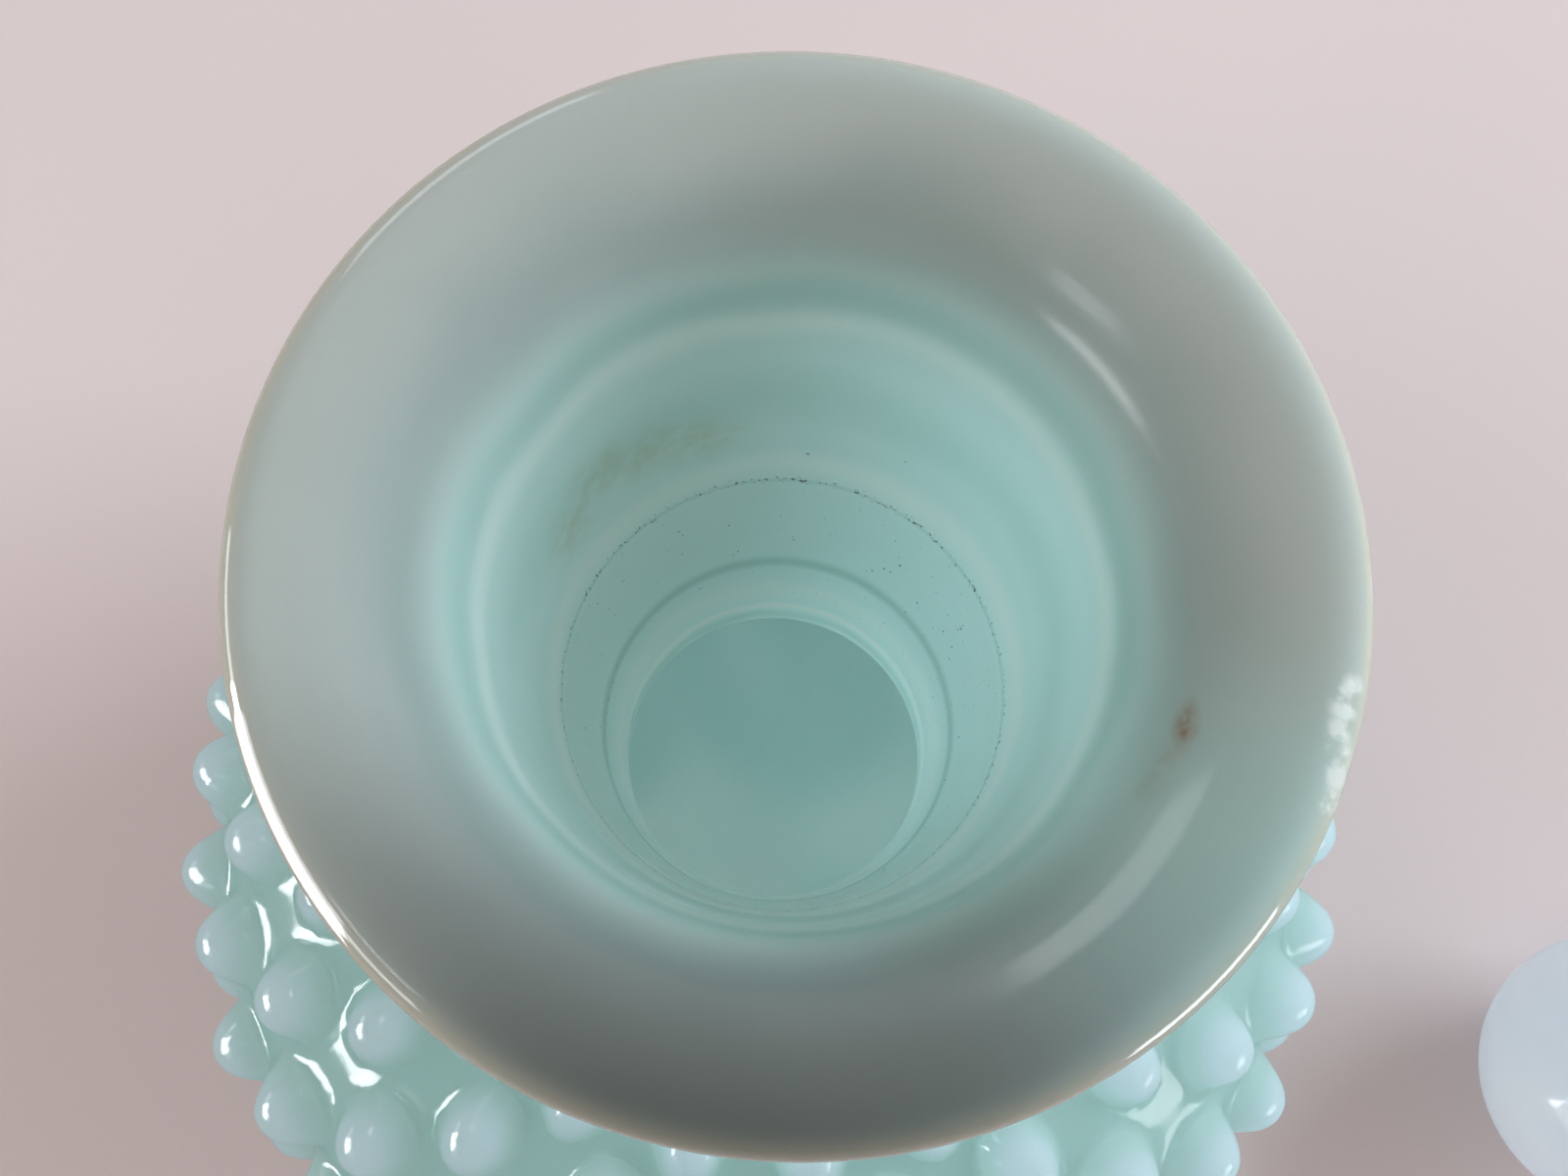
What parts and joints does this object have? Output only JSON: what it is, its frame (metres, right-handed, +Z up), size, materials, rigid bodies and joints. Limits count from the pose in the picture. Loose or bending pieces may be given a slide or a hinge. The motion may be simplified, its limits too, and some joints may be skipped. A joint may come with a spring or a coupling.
{
  "type": "barber bottle",
  "caption": "Squat round hobnail glass bottle with a short tapered neck, a wide flared lip and a loose ball-headed glass stopper lying beside it.",
  "frame": {"origin": "middle of the bottle's flat base, on the surface that it stands on", "axes": "+Z up along the bottle's axis and out of its mouth, -Y towards the picture's viewer, +X to the picture's right, where the stopper lies"},
  "size_m": [0.1383, 0.0846, 0.099],
  "materials": {
    "turquoise_milk_glass": "glossy pressed opal glass, smooth lip, raised knobs on the body",
    "pale_opal_glass": "glossy solid opal glass"
  },
  "bodies": {
    "bottle": {"bottle": "turquoise_milk_glass"},
    "stopper": {"stopper": "pale_opal_glass"}
  },
  "joints": [
    {"name": "stopper_lift", "type": "slide", "parent": "bottle", "child": "stopper", "axis": [0, 0, 1], "range_m": [0, 0.12]}
  ]
}
